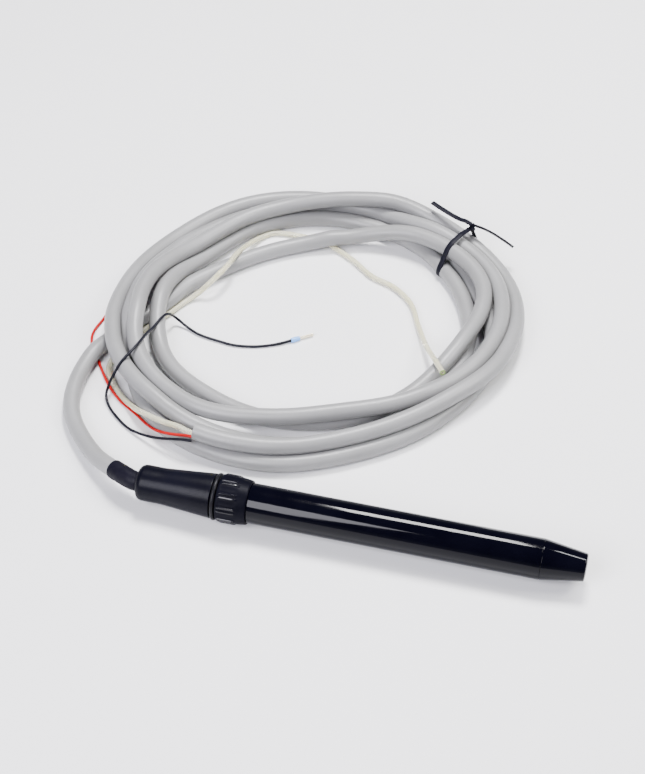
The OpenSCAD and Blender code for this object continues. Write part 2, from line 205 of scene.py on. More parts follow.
def spline(values, at):
    """Catmull-Rom spline through evenly spaced values, at places counted in spacings."""
    values = np.array(values, float)
    last = len(values) - 1
    i = np.clip(np.floor(at).astype(int), 0, last - 1)
    t = at - i
    a, b, c, d = (values[np.clip(i + k, 0, last)] for k in (-1, 0, 1, 2))
    square, cube = 2 * a - 5 * b + 4 * c - d, 3 * b - a - 3 * c + d
    return 0.5 * (2 * b + (c - a) * t + square * t**2 + cube * t**3)


def coil_points():
    """Points about 5 degrees apart along the coil's turns."""
    angle = np.linspace(COIL_START, COIL_END, COIL_POINTS)
    radius = spline([r for turn in TURN_RADII_MM for r in turn], angle / 30)
    height = spline([h for turn in TURN_HEIGHTS_MM for h in turn], angle / 30)
    turn = np.radians(180 - angle)
    x = COIL_CENTRE_MM[0] + radius * np.cos(turn)
    y = COIL_CENTRE_MM[1] + radius * np.sin(turn)
    return np.stack([x, y, height], 1)


def evenly(points, step):
    """Points a step apart along a smooth curve through the given ones."""
    points = np.array(points, float)
    at = np.linspace(0, len(points) - 1, (len(points) - 1) * 12 + 1)
    fine = np.stack([spline(points[:, k], at) for k in range(3)], 1)
    run = np.r_[0, np.cumsum(np.linalg.norm(np.diff(fine, axis=0), axis=1))]
    places = np.linspace(0, run[-1], int(round(run[-1] / step)) + 1)
    return np.stack([np.interp(places, run, fine[:, k]) for k in range(3)], 1)


class Strand:
    """A round cord as a chain of points, for the settling below.

    Mobility is how readily it gives way, hold how firmly it keeps its route, sink how fast it
    comes down in a round, and passes how stiff it is. Pinned points stay where they are.
    """

    def __init__(self, points, diameter, step, mobility, hold, sink, passes, pinned=()):
        self.rest = evenly(points, step)
        self.radius = diameter / 2
        self.step = step
        self.mobility = mobility
        self.hold = hold
        self.sink = sink
        self.passes = passes
        self.pinned = pinned


def close_pairs(place, radius, strand, order, skip, margin):
    """Pairs of points nearer than their radii and a margin, neighbours along one strand left out."""
    first, second = [], []
    for low in range(0, len(place), 400):
        gap = ((place[low:low + 400, None, :] - place[None, :, :]) ** 2).sum(2)
        reach = (radius[low:low + 400, None] + radius[None, :] + margin) ** 2
        i, j = np.nonzero(gap < reach)
        i = i + low
        keep = (i < j) & ~((strand[i] == strand[j]) & (np.abs(order[i] - order[j]) < skip[strand[i]]))
        first.append(i[keep])
        second.append(j[keep])
    return np.concatenate(first), np.concatenate(second)


def smoothed(shift, weight, passes, pinned):
    """Displacements evened out along a strand, as its stiffness does."""
    for _ in range(passes):
        even = shift.copy()
        even[1:-1] += weight * (shift[:-2] + shift[2:] - 2 * shift[1:-1])
        even[0] += weight * (shift[1] - shift[0])
        even[-1] += weight * (shift[-2] - shift[-1])
        even[pinned] = shift[pinned]
        shift = even
    return shift


PAIR_ROUNDS = 8
PAIR_MARGIN_MM = 3.0
PUSHES = 3
PUSH_SHARE = 0.35


def push_apart(place, radius, mobility, first, second):
    """Moves overlapping points a part of the way off each other, the more mobile one farther."""
    apart = place[second] - place[first]
    gap = np.maximum(np.linalg.norm(apart, axis=1), 1e-6)
    overlap = radius[first] + radius[second] - gap
    hit = overlap > 0
    i, j = first[hit], second[hit]
    share = np.maximum(mobility[i] + mobility[j], 1e-9)
    push = (PUSH_SHARE * overlap[hit] / gap[hit] / share)[:, None] * apart[hit]
    np.add.at(place, i, -push * mobility[i][:, None])
    np.add.at(place, j, push * mobility[j][:, None])


def pinned_points(strands, begins, counts):
    """Which points are pinned, over all strands."""
    pinned = np.zeros(begins[-1], bool)
    for k, s in enumerate(strands):
        for at in s.pinned:
            pinned[begins[k] + at % counts[k]] = True
    return pinned


def settle(strands, rounds=300, last_rounds=40):
    """Lets stiff strands sink onto the floor and each other, without passing through.

    The last rounds only push the strands apart and even them out a little.
    """
    rest = np.vstack([s.rest for s in strands])
    place = rest.copy()
    counts = [len(s.rest) for s in strands]
    begins = np.cumsum([0] + counts)

    def each_point(values):
        return np.concatenate([np.full(n, v) for n, v in zip(counts, values)])

    radius = each_point([s.radius for s in strands])
    mobility = each_point([s.mobility for s in strands])
    hold = each_point([s.hold for s in strands])
    sink = each_point([s.sink for s in strands])
    strand = each_point(range(len(strands))).astype(int)
    order = np.concatenate([np.arange(n) for n in counts])
    skip = np.array([int(np.ceil(2.6 * s.radius / s.step)) + 1 for s in strands])
    pinned = pinned_points(strands, begins, counts)
    mobility = np.where(pinned, 0, mobility)
    free = ~pinned
    for turn in range(rounds):
        closing = turn >= rounds - last_rounds
        if turn % PAIR_ROUNDS == 0:
            first, second = close_pairs(place, radius, strand, order, skip, PAIR_MARGIN_MM)
        if not closing:
            place[:, 2] -= sink * free
            place[:, :2] += (hold * free)[:, None] * (rest[:, :2] - place[:, :2])
        for _ in range(PUSHES):
            push_apart(place, radius, mobility, first, second)
            place[:, 2] = np.where(pinned, place[:, 2], np.maximum(place[:, 2], radius))
        for k, s in enumerate(strands):
            part = slice(begins[k], begins[k + 1])
            weight, passes = (0.12, 1) if closing else (0.45, s.passes)
            place[part] = rest[part] + smoothed(place[part] - rest[part], weight, passes, pinned[part])
        place[:, 2] = np.where(pinned, place[:, 2], np.maximum(place[:, 2], radius))
    return [place[begins[k]:begins[k + 1]] for k in range(len(strands))]


cable_way = LEAD_MM + JOIN_MM + [tuple(p) for p in coil_points()]
cable_strand = Strand(cable_way, CABLE_D_MM, 3.0, 1.0, 0.04, 0.06, 14, (0, 1, 2, -2, -1))
black_strand = Strand(BLACK_MM, WIRE_D_MM, 2.5, 8.0, 0.08, 0.06, 3, (0, 1, 2, -1))
red_strand = Strand(RED_MM, WIRE_D_MM, 2.5, 8.0, 0.08, 0.06, 3, (0, 1, 2, -1))
vent_strand = Strand(VENT_MM, VENT_D_MM, 2.5, 5.0, 0.08, 0.06, 3, (0, 1))
cable_path, black_path, red_path, vent_path = settle([cable_strand, black_strand, red_strand, vent_strand])


# ---------------------------------------------------------------- shapes

class Rail:
    """A line through points in millimetres, with a frame along it to place outlines on."""

    def __init__(self, points, up=(0, 0, 1)):
        self.points = np.array(points, float)
        steps = np.diff(self.points, axis=0)
        self.run = np.r_[0, np.cumsum(np.linalg.norm(steps, axis=1))]
        tangents = np.gradient(self.points, self.run, axis=0)
        self.tangents = tangents / np.linalg.norm(tangents, axis=1)[:, None]
        side = np.array(up, float)
        sides = []
        for tangent in self.tangents:
            side = side - tangent * (side @ tangent)
            side = side / np.linalg.norm(side)
            sides.append(side)
        self.sides = np.array(sides)
        self.length = self.run[-1]

    def blended(self, values, at):
        mixed = np.array([np.interp(at, self.run, values[:, k]) for k in range(3)])
        return mixed / np.linalg.norm(mixed)

    def frame(self, at):
        """Place, direction, side and third direction at a distance along the line."""
        place = np.array([np.interp(at, self.run, self.points[:, k]) for k in range(3)])
        tangent = self.blended(self.tangents, at)
        side = self.blended(self.sides, at)
        return place, tangent, side, np.cross(tangent, side)


# The probe's axis. Places along it are stations, counted as in the part, plus RAIL_START.
RAIL_START = 5
PROBE_RAIL = Rail([(STATION_0_MM - RAIL_START, 0, AXIS_Z / MM), (TIP / MM, 0, AXIS_Z / MM)])


def rounded(*corners, steps=5):
    """Outline through corners (place, radius) or (place, radius, rounding), in millimetres."""
    points = []
    for k, corner in enumerate(corners):
        here = np.array(corner[:2], float)
        if len(corner) == 2:
            points.append(here)
            continue
        before = np.array(corners[k - 1][:2], float) - here
        after = np.array(corners[(k + 1) % len(corners)][:2], float) - here
        reach = min(corner[2], 0.48 * np.linalg.norm(before), 0.48 * np.linalg.norm(after))
        start = here + reach * before / np.linalg.norm(before)
        end = here + reach * after / np.linalg.norm(after)
        for t in np.linspace(0, 1, steps + 1):
            points.append((1 - t) ** 2 * start + 2 * t * (1 - t) * here + t**2 * end)
    return points


def divided(points, step, closed=False):
    """The same outline with points at most a step apart."""
    ends = points[1:] + points[:1] if closed else points[1:]
    fine = []
    for a, b in zip(points, ends):
        a, b = np.array(a, float), np.array(b, float)
        count = max(1, int(np.ceil(np.linalg.norm(b - a) / step)))
        fine += [a + (b - a) * k / count for k in range(count)]
    return fine if closed else fine + [np.array(points[-1], float)]


def mesh_object(name, points, faces, material, sharp=40):
    """A smooth-shaded mesh from points in millimetres."""
    mesh = bpy.data.meshes.new(name)
    mesh.from_pydata([tuple(p) for p in np.array(points) * MM], [], faces)
    mesh.validate()
    mesh.polygons.foreach_set("use_smooth", [True] * len(mesh.polygons))
    mesh.set_sharp_from_angle(angle=math.radians(sharp))
    mesh.materials.append(material)
    made = bpy.data.objects.new(name, mesh)
    bpy.context.scene.collection.objects.link(made)
    return made


def turned(name, rail, outline, material, sides=128, closed=False, shape=None):
    """An outline turned about a rail. An open outline starts and ends on the rail."""
    angles = np.linspace(0, 2 * np.pi, sides, endpoint=False)
    points, rings, faces = [], [], []
    for at, radius in outline:
        place, _, side, third = rail.frame(at)
        if radius < 1e-6:
            rings.append([len(points)] * sides)
            points.append(place)
            continue
        radii = np.full(sides, radius) if shape is None else shape(at, radius, angles)
        rings.append(list(range(len(points), len(points) + sides)))
        ring = place + radii[:, None] * (np.cos(angles)[:, None] * side + np.sin(angles)[:, None] * third)
        points.extend(ring)
    pairs = list(zip(rings, rings[1:])) + ([(rings[-1], rings[0])] if closed else [])
    for one, two in pairs:
        for j in range(sides):
            k = (j + 1) % sides
            corners = [one[j], one[k], two[k], two[j]]
            face = [c for n, c in enumerate(corners) if c not in corners[:n]]
            if len(face) > 2:
                faces.append(face)
    return mesh_object(name, points, faces, material)


def swept(name, frames, section, material, closed=False):
    """A flat section (across, outward) carried along frames (place, across, outward)."""
    count = len(section)
    points = [p + a * u + b * v for p, u, v in frames for a, b in section]
    faces = []
    rows = len(frames)
    for i in range(rows if closed else rows - 1):
        for j in range(count):
            k = (j + 1) % count
            n = (i + 1) % rows
            faces.append([i * count + j, i * count + k, n * count + k, n * count + j])
    if not closed:
        faces.append(list(range(count))[::-1])
        faces.append(list(range((rows - 1) * count, rows * count)))
    return mesh_object(name, points, faces, material)


def add(piece, body, slot, *nodes):
    """Fixes a piece to its body and hides the nodes it stands for. Its slot argument is not used."""
    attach(piece, body)
    if nodes:
        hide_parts(*nodes)
    return piece


# ---------------------------------------------------------------- materials

def shader(name):
    """A new material with its tree and its Principled shader."""
    material = bpy.data.materials.new(name)
    material.use_nodes = True
    tree = material.node_tree
    return material, tree, tree.nodes["Principled BSDF"]


def place_coords(tree, stretch=(1, 1, 1)):
    """Coordinates in the part's frame, stretched along each axis."""
    coords = tree.nodes.new("ShaderNodeTexCoord")
    mapping = tree.nodes.new("ShaderNodeMapping")
    mapping.inputs["Scale"].default_value = stretch
    tree.links.new(coords.outputs["Object"], mapping.inputs["Vector"])
    return mapping.outputs["Vector"]


def noise(tree, coords, scale, detail=3.0, roughness=0.55):
    node = tree.nodes.new("ShaderNodeTexNoise")
    node.inputs["Scale"].default_value = scale
    node.inputs["Detail"].default_value = detail
    node.inputs["Roughness"].default_value = roughness
    tree.links.new(coords, node.inputs["Vector"])
    return node.outputs["Fac"]


def ramp(tree, fac, low, high, start=0.3, end=0.7):
    """Colours from low to high as fac goes from start to end."""
    node = tree.nodes.new("ShaderNodeValToRGB")
    node.color_ramp.elements[0].position = start
    node.color_ramp.elements[0].color = (*low, 1)
    node.color_ramp.elements[1].position = end
    node.color_ramp.elements[1].color = (*high, 1)
    tree.links.new(fac, node.inputs["Fac"])
    return node.outputs["Color"]


def spread(tree, fac, low, high, start=0.3, end=0.7):
    """A value from low to high as fac goes from start to end."""
    node = tree.nodes.new("ShaderNodeMapRange")
    for socket, value in zip(("From Min", "From Max", "To Min", "To Max"), (start, end, low, high)):
        node.inputs[socket].default_value = value
    tree.links.new(fac, node.inputs["Value"])
    return node.outputs["Result"]


def bump(tree, height, depth, distance=0.0005, under=None):
    node = tree.nodes.new("ShaderNodeBump")
    node.inputs["Strength"].default_value = depth
    node.inputs["Distance"].default_value = distance
    tree.links.new(height, node.inputs["Height"])
    if under is not None:
        tree.links.new(under, node.inputs["Normal"])
    return node.outputs["Normal"]


def finish_of(name, low, high, rough, grain, depth, blotch=40, stretch=(1, 1, 1), **constants):
    """A moulded, drawn or machined finish.

    Its colour runs from low to high in blotches, its roughness between the two given, and its
    grain, so many per metre, stands out by depth. Constants are the shader's own sockets.
    """
    material, tree, principled = shader(name)
    coords = place_coords(tree, stretch)
    patches = noise(tree, coords, blotch, 4.0)
    fine = noise(tree, coords, grain, 3.0, 0.6)
    tree.links.new(ramp(tree, patches, low, high), principled.inputs["Base Color"])
    tree.links.new(spread(tree, fine, *rough), principled.inputs["Roughness"])
    tree.links.new(bump(tree, fine, depth), principled.inputs["Normal"])
    for socket, value in constants.items():
        principled.inputs[socket.replace("_", " ")].default_value = value
    return material


def jacket_finish():
    """Grey PVC: satin, faintly mottled, with a few scuffs that are darker."""
    material, tree, principled = shader("cable_jacket")
    coords = place_coords(tree)
    clouds = noise(tree, coords, 22, 4.0)
    dust = noise(tree, coords, 900, 4.0, 0.7)
    scuffs = noise(tree, place_coords(tree, (1.0, 2.5, 1.0)), 160, 5.0, 0.65)
    base = ramp(tree, clouds, (0.200, 0.200, 0.200), (0.228, 0.228, 0.230), 0.35, 0.65)
    marks = ramp(tree, scuffs, (1, 1, 1), (0.80, 0.79, 0.78), 0.66, 0.82)
    mix = tree.nodes.new("ShaderNodeMix")
    mix.data_type = "RGBA"
    mix.blend_type = "MULTIPLY"
    mix.inputs["Factor"].default_value = 1
    tree.links.new(base, mix.inputs["A"])
    tree.links.new(marks, mix.inputs["B"])
    tree.links.new(mix.outputs["Result"], principled.inputs["Base Color"])
    tree.links.new(spread(tree, dust, 0.33, 0.46), principled.inputs["Roughness"])
    long_waves = bump(tree, noise(tree, coords, 75, 2.0), 0.12, 0.002)
    tree.links.new(bump(tree, dust, 0.10, 0.0002, long_waves), principled.inputs["Normal"])
    principled.inputs["Specular IOR Level"].default_value = 0.45
    principled.inputs["Subsurface Weight"].default_value = 0.06
    principled.inputs["Subsurface Radius"].default_value = (0.004, 0.004, 0.004)
    principled.inputs["Subsurface Scale"].default_value = 0.4
    return material


def gloss_finish():
    """Polished black acetal: near black, with hairline wiping marks and a little dust."""
    material, tree, principled = shader("probe_gloss")
    coords = place_coords(tree)
    hairs = noise(tree, place_coords(tree, (0.06, 1, 1)), 1800, 2.0)
    haze = noise(tree, coords, 60, 4.0)
    tint = ramp(tree, haze, (0.0008, 0.0008, 0.0026), (0.0015, 0.0015, 0.0040))
    tree.links.new(tint, principled.inputs["Base Color"])
    tree.links.new(spread(tree, haze, 0.045, 0.10), principled.inputs["Roughness"])
    tree.links.new(bump(tree, hairs, 0.05, 0.0001), principled.inputs["Normal"])
    principled.inputs["IOR"].default_value = 1.235
    return material


# The nut's ribs are worn smooth where they stand farthest from its axis, in metres.
WORN_START, WORN_END = 0.01178, 0.01192


def nut_finish():
    """The relief's black, with crests that fingers have polished: the farther out, the shinier."""
    material = finish_of("nut_plastic", BLACK_LOW, BLACK_HIGH, (0.40, 0.50), 1200, 0.05, blotch=70, IOR=1.25)
    tree = material.node_tree
    principled = next(node for node in tree.nodes if node.type == "BSDF_PRINCIPLED")
    across = tree.nodes.new("ShaderNodeVectorMath")
    across.operation = "MULTIPLY_ADD"
    across.inputs[1].default_value = (0, 1, 1)
    across.inputs[2].default_value = (0, 0, -AXIS_Z)
    tree.links.new(place_coords(tree), across.inputs[0])
    away = tree.nodes.new("ShaderNodeVectorMath")
    away.operation = "LENGTH"
    tree.links.new(across.outputs["Vector"], away.inputs[0])
    polish = spread(tree, away.outputs["Value"], 0, 1, WORN_START, WORN_END)
    tree.links.new(spread(tree, polish, 0.42, 0.15, 0, 1), principled.inputs["Roughness"])
    tree.links.new(spread(tree, polish, 0.12, 0.9, 0, 1), principled.inputs["Specular IOR Level"])
    return material


def clear_finish():
    """Soft translucent tubing, slightly yellow, cloudy along its length."""
    material, tree, principled = shader("clear_tube")
    coords = place_coords(tree)
    clouds = noise(tree, coords, 90, 3.0)
    tint = ramp(tree, clouds, (0.92, 0.89, 0.66), (0.96, 0.94, 0.78))
    tree.links.new(tint, principled.inputs["Base Color"])
    tree.links.new(spread(tree, clouds, 0.16, 0.30), principled.inputs["Roughness"])
    tree.links.new(bump(tree, noise(tree, coords, 500), 0.08, 0.0002), principled.inputs["Normal"])
    principled.inputs["Transmission Weight"].default_value = 0.65
    principled.inputs["IOR"].default_value = 1.42
    return material


def porous_finish():
    """Sintered grey filter with open pores, coloured darker down in the pores as painted shade."""
    material, tree, principled = shader("porous_filter")
    coords = place_coords(tree)
    cells = tree.nodes.new("ShaderNodeTexVoronoi")
    cells.inputs["Scale"].default_value = 3600
    tree.links.new(coords, cells.inputs["Vector"])
    distance = cells.outputs["Distance"]
    # Painted shade: the colour darkens where the bump sinks into the pores.
    tint = ramp(tree, distance, (0.36, 0.35, 0.32), (0.10, 0.10, 0.09), 0.1, 0.8)
    tree.links.new(tint, principled.inputs["Base Color"])
    tree.links.new(spread(tree, noise(tree, coords, 700), 0.7, 0.95), principled.inputs["Roughness"])
    tree.links.new(bump(tree, distance, 0.8, -0.0002), principled.inputs["Normal"])
    return material


BLACK_LOW, BLACK_HIGH = (0.0018, 0.0018, 0.0042), (0.0032, 0.0032, 0.0070)
relief_mat = finish_of("relief_plastic", BLACK_LOW, BLACK_HIGH, (0.27, 0.36), 1400, 0.08, blotch=60,
                       IOR=1.165)
nut_mat = nut_finish()
bead_mat = finish_of("black_rubber", (0.003, 0.003, 0.004), (0.006, 0.006, 0.008), (0.30, 0.42), 1500, 0.12,
                     IOR=1.22)
shrink_mat = finish_of("heat_shrink", (0.0035, 0.0032, 0.007), (0.0055, 0.0050, 0.010), (0.40, 0.52), 1100,
                       0.25, blotch=120, IOR=1.17)
black_wire_mat = finish_of("black_insulation", (0.005, 0.005, 0.009), (0.010, 0.010, 0.015), (0.30, 0.42),
                           1500, 0.08, IOR=1.22)
red_wire_mat = finish_of("red_insulation", (0.34, 0.0004, 0.002), (0.42, 0.0008, 0.004), (0.30, 0.42),
                         1500, 0.08, IOR=1.3)
tie_mat = finish_of("tie_plastic", (0.003, 0.003, 0.007), (0.006, 0.006, 0.011), (0.40, 0.52), 1500, 0.15,
                    IOR=1.19)
jacket_mat = jacket_finish()
gloss_mat = gloss_finish()
clear_mat = clear_finish()
rim_mat = finish_of("cut_tube_edge", (0.26, 0.42, 0.10), (0.34, 0.52, 0.16), (0.30, 0.42), 1500, 0.1)
collar_mat = finish_of("ferrule_blue", (0.12, 0.33, 0.78), (0.17, 0.40, 0.84), (0.30, 0.42), 1500, 0.1)
pin_mat = finish_of("tinned_pin", (0.78, 0.70, 0.50), (0.88, 0.82, 0.66), (0.28, 0.40), 1600, 0.2,
                    Metallic=0.8)

# Finishes of the CAD parts that keep their own shape: low, high, roughness, grain, depth, sockets.
CAD_FINISHES = {
    "zinc_steel": ((0.52, 0.52, 0.50), (0.64, 0.64, 0.62), (0.28, 0.42), 1400, 0.15, {"Metallic": 1.0}),
    "brass_part": ((0.60, 0.42, 0.16), (0.72, 0.52, 0.22), (0.24, 0.38), 1400, 0.15, {"Metallic": 1.0}),
    "steel_capsule": ((0.48, 0.48, 0.49), (0.60, 0.60, 0.61), (0.20, 0.34), 1600, 0.12, {"Metallic": 1.0}),
    "gold_contact": ((0.78, 0.54, 0.18), (0.90, 0.64, 0.24), (0.16, 0.28), 1600, 0.10, {"Metallic": 1.0}),
    "dark_insert": ((0.010, 0.010, 0.011), (0.018, 0.018, 0.020), (0.35, 0.50), 1200, 0.15, {}),
    "green_board": ((0.010, 0.085, 0.030), (0.016, 0.12, 0.045), (0.25, 0.40), 900, 0.10, {}),
    "board_chips": ((0.012, 0.012, 0.012), (0.030, 0.030, 0.030), (0.40, 0.60), 1500, 0.20, {}),
    "slip_plastic": ((0.55, 0.55, 0.52), (0.66, 0.66, 0.62), (0.35, 0.50), 1300, 0.12, {}),
}
made_finishes = {
    "relief_plastic": relief_mat, "nut_plastic": nut_mat, "black_rubber": bead_mat,
    "heat_shrink": shrink_mat, "cable_jacket": jacket_mat, "probe_gloss": gloss_mat,
    "porous_filter": porous_finish(), "black_insulation": black_wire_mat, "red_insulation": red_wire_mat,
    "clear_tube": clear_mat, "tie_plastic": tie_mat, "ferrule_blue": collar_mat, "tinned_pin": pin_mat,
}
for slot_name, (low, high, rough, grain, depth, sockets) in CAD_FINISHES.items():
    made_finishes[slot_name] = finish_of(slot_name, low, high, rough, grain, depth, **sockets)


def slot_of_nodes():
    """The material slot of each CAD node, from the record."""
    return {part["node"]: part["material_slot"] for part in frame["record"]["subparts"]}


# ---------------------------------------------------------------- the probe

def on_probe(name, outline, material, **how):
    """An outline given in stations and radii, turned about the probe's axis."""
    return turned(name, PROBE_RAIL, [(at + RAIL_START, r) for at, r in outline], material, **how)


def make_relief():
    outline = rounded(
        (-2.5, 5.15), (-2.5, 6.4, 0.5), (-1.6, 8.1, 0.7), (0.1, 9.05, 1.2), (11, 9.05, 3.0),
        (36.3, 11.2, 0.4), (36.3, 8.8), (39.2, 8.8), (39.4, 9.2), (47.8, 9.2), (48, 8.8), (48, 7.0),
        (9.5, 7.0), (9.5, 5.15),
    )
    relief = on_probe("strain_relief_body", outline, relief_mat, sides=160, closed=True)
    return add(relief, CABLE_SIDE, "relief_plastic", "strain_relief")


def make_bead():
    outline = rounded((36.9, 8.9), (36.9, 11.75, 0.9), (38.8, 11.75, 0.9), (38.8, 8.9))
    bead = on_probe("seal_bead", outline, bead_mat, sides=160, closed=True)
    return add(bead, CABLE_SIDE, "black_rubber", "seal_ring")


# Ribs of the collar nut: pairs of them, a pair's half angle, a rib's half width and its flank.
RIB_GROUPS = 10
RIB_OFFSET = math.radians(4.8)
RIB_HALF = math.radians(1.3)
RIB_FLANK = math.radians(1.9)
RIB_H = 0.55
HOLLOW_DEPTH = 0.15
RIB_SPAN = (40.0, 50.4)
NUT_ROOT_MM = 11.2


def smooth_step(value):
    value = np.clip(value, 0, 1)
    return value * value * (3 - 2 * value)


def ribbed(at, radius, angles):
    """Radii of the nut's outside, where pairs of thin ribs stand out and fade at both ends."""
    at = at - RAIL_START
    if radius < NUT_ROOT_MM or at > RIB_SPAN[1]:
        return np.full(len(angles), radius)
    pitch = 2 * np.pi / RIB_GROUPS
    offset = np.abs((angles + pitch / 2) % pitch - pitch / 2)
    rib = smooth_step((RIB_HALF + RIB_FLANK - np.abs(offset - RIB_OFFSET)) / RIB_FLANK)
    hollow = smooth_step(
        (offset - RIB_OFFSET - RIB_HALF - RIB_FLANK) / (pitch / 2 - RIB_OFFSET - RIB_HALF - RIB_FLANK)
    )
    ends = smooth_step((at - RIB_SPAN[0]) / 1.4) * smooth_step((RIB_SPAN[1] - at) / 2.6)
    return radius + (RIB_H * rib - HOLLOW_DEPTH * hollow) * ends


def make_nut():
    outside = [(39.4, 9.4), (39.4, 11.3, 0.3), (40.2, 11.7, 0.6), (44, 11.75, 2.0), (48.5, 11.66, 2.0),
               (51.6, 11.35, 1.5), (54.2, 10.95, 0.5), (54.6, 10.6, 0.25), (54.6, 10.0, 0.15)]
    inside = [(51.6, 10.0), (51.6, 10.9), (48.3, 10.9), (48.3, 9.4)]
    outline = divided(rounded(*outside, *inside), 0.35, closed=True)
    nut = on_probe("coupling_nut_body", outline, nut_mat, sides=720, closed=True, shape=ribbed)
    return add(nut, NUT, "nut_plastic", "coupling_nut")


def make_tube():
    outline = rounded(
        (50.6, 8.0), (50.6, 9.8, 0.3), (54.75, 9.8), (55.1, 10.0, 0.2), (198, 10.0, 0.35), (198, 8.0),
    )
    tube = on_probe("probe_tube_body", outline, gloss_mat, sides=192, closed=True)
    return add(tube, SHAFT, "probe_gloss", "probe_tube")


def make_nose():
    tip = PROBE_MM
    outline = rounded(
        (186, 2.0), (186, 8.0), (190, 8.0), (190, 6.8), (192, 6.8), (192, 8.0), (198, 8.0),
        (198, 10.0, 0.35),
        (tip - 0.25, 6.75, 1.3), (tip, 5.6, 0.4), (tip, 5.0, 0.3), (tip - 4, 5.0), (tip - 4, 2.0),
    )
    nose = on_probe("nose_cone_body", outline, gloss_mat, sides=192, closed=True)
    return add(nose, SHAFT, "probe_gloss", "nose_cone")


make_relief()
make_bead()
make_nut()
make_tube()
make_nose()


# ---------------------------------------------------------------- the cable and its sleeve

JACKET_WALL_MM = 1.1
VENT_WALL_MM = 0.6
SLEEVE_OVERLAP_MM = 8
SLEEVE_POINTS = 5


def make_cable():
    """The grey cable from the strain relief, round the coil, to its cut end."""
    fine = evenly(cable_path, 1.6)
    rail = Rail(fine)
    end = rail.length
    outer = CABLE_R_MM
    bore = outer - JACKET_WALL_MM
    outline = divided([(0, 0), (0, outer)], 10) + divided([(0, outer), (end - 0.4, outer)], 1.6)[1:]
    outline += rounded((end - 0.4, outer), (end, outer, 0.35), (end, bore, 0.15), (end - 0.5, bore, 0.1),
                       (end - 0.5, 0))[1:]
    cable = turned("cable", rail, outline, jacket_mat, sides=40)
    add(cable, CABLE_SIDE, "cable_jacket", "cable_lead", "cable_coil")
    return cable, fine


def make_sleeve(rail_points):
    """The shrunk sleeve over the cable, from inside the strain relief, slightly rippled."""
    route = evenly([(REAR / MM + SLEEVE_OVERLAP_MM, 0, AXIS_Z / MM)] + rail_points, 1.0)
    rail = Rail(route)
    end = rail.length
    outer, inner = 4.95, 4.42
    profile = rounded((0.2, outer - 0.02), (end - 0.1, outer, 0.3), (end, inner, 0.15), (0.2, inner))
    outline = divided(profile, 1.0, closed=True)

    def shrunk(at, radius, angles):
        ripple = 0.035 * np.sin(at * 1.7 + 2 * angles) + 0.03 * np.sin(at * 0.9 - 3 * angles + 1)
        return radius + (ripple if radius > inner + 0.2 else 0) * np.ones(len(angles))

    sleeve = turned("heat_shrink", rail, outline, shrink_mat, sides=64, closed=True, shape=shrunk)
    return add(sleeve, CABLE_SIDE, "heat_shrink", "heat_shrink_sleeve")


def make_wire(name, path, material, slot_name, node):
    """A thin insulated wire, solid, with rounded ends."""
    fine = evenly(path, 1.0)
    rail = Rail(fine)
    end = rail.length
    r = WIRE_D_MM / 2
    outline = divided(rounded((0, 0), (0, r, 0.15), (end, r, 0.15), (end, 0)), 1.0)
    wire = turned(name, rail, outline, material, sides=16)
    return add(wire, CABLE_SIDE, slot_name, node), fine


def make_vent(path):
    """The clear tube, open at its far end, where its cut rim is greenish."""
    fine = evenly(path, 1.0)
    rail = Rail(fine)
    end = rail.length
    r, bore = VENT_D_MM / 2, VENT_D_MM / 2 - VENT_WALL_MM
    outline = divided(rounded((0, bore), (0, r), (end, r, 0.12), (end, bore, 0.12)), 1.0, closed=True)
    vent = turned("vent_tube_body", rail, outline, clear_mat, sides=28, closed=True)
    back, front = end - 0.3, end + 0.05
    rim_outline = [(back, bore - 0.02), (back, r + 0.02), (front, r + 0.02), (front, bore - 0.02)]
    rim = turned("vent_tube_rim", rail, rim_outline, rim_mat, sides=28, closed=True)
    add(rim, CABLE_SIDE, "clear_tube")
    return add(vent, CABLE_SIDE, "clear_tube", "vent_tube"), fine


def make_ferrule(prefix, path, heading):
    """A crimped end sleeve: a flared plastic collar and a pressed pin."""
    start = np.array(path[-1])
    way = np.array([math.cos(math.radians(heading)), math.sin(math.radians(heading)), 0])
    rail = Rail([start - 2 * way, start + 14 * way])
    collar_outline = rounded(
        (1.6, 0.7), (1.6, 1.25, 0.15), (3.4, 1.4, 0.6), (5.2, 1.3, 0.5), (6.6, 1.1, 0.2), (6.6, 0.7),
    )
    collar = turned(prefix + "_collar_body", rail, collar_outline, collar_mat, sides=40, closed=True)
    add(collar, CABLE_SIDE, "ferrule_blue", prefix + "_ferrule_collar")

    def crimped(at, radius, angles):
        """Pressed flat and wider than its wire, with a row of notches."""
        pressed = smooth_step((at - 6.5) / 0.8)
        notch = smooth_step(1.5 * math.cos(2 * math.pi * (at - 7.9) / 2.4) - 0.5)
        wide = 1 + pressed * (0.3 * np.cos(angles) ** 2 - 0.1 * np.sin(angles) ** 2)
        return radius * wide * (1 - 0.22 * notch * pressed)

    pin_profile = rounded((6.4, 0), (6.4, 0.75), (14.2, 0.75, 0.2), (14.5, 0.5, 0.15), (14.5, 0))
    pin_outline = divided(pin_profile, 0.25)
    pin = turned(prefix + "_pin_body", rail, pin_outline, pin_mat, sides=40, shape=crimped)
    add(pin, CABLE_SIDE, "tinned_pin", prefix + "_ferrule_pin")
    return [collar, pin]


cable, cable_line = make_cable()
sleeve = make_sleeve(LEAD_MM[:SLEEVE_POINTS])
black_wire, black_line = make_wire(
    "black_lead_wire", black_path, black_wire_mat, "black_insulation", "black_wire"
)
red_wire, red_line = make_wire("red_lead_wire", red_path, red_wire_mat, "red_insulation", "red_wire")
vent, vent_line = make_vent(vent_path)
BLACK_HEADING, RED_HEADING = 36, 51
black_ferrule = make_ferrule("black", black_path, BLACK_HEADING)
red_ferrule = make_ferrule("red", red_path, RED_HEADING)


# ---------------------------------------------------------------- the twist tie

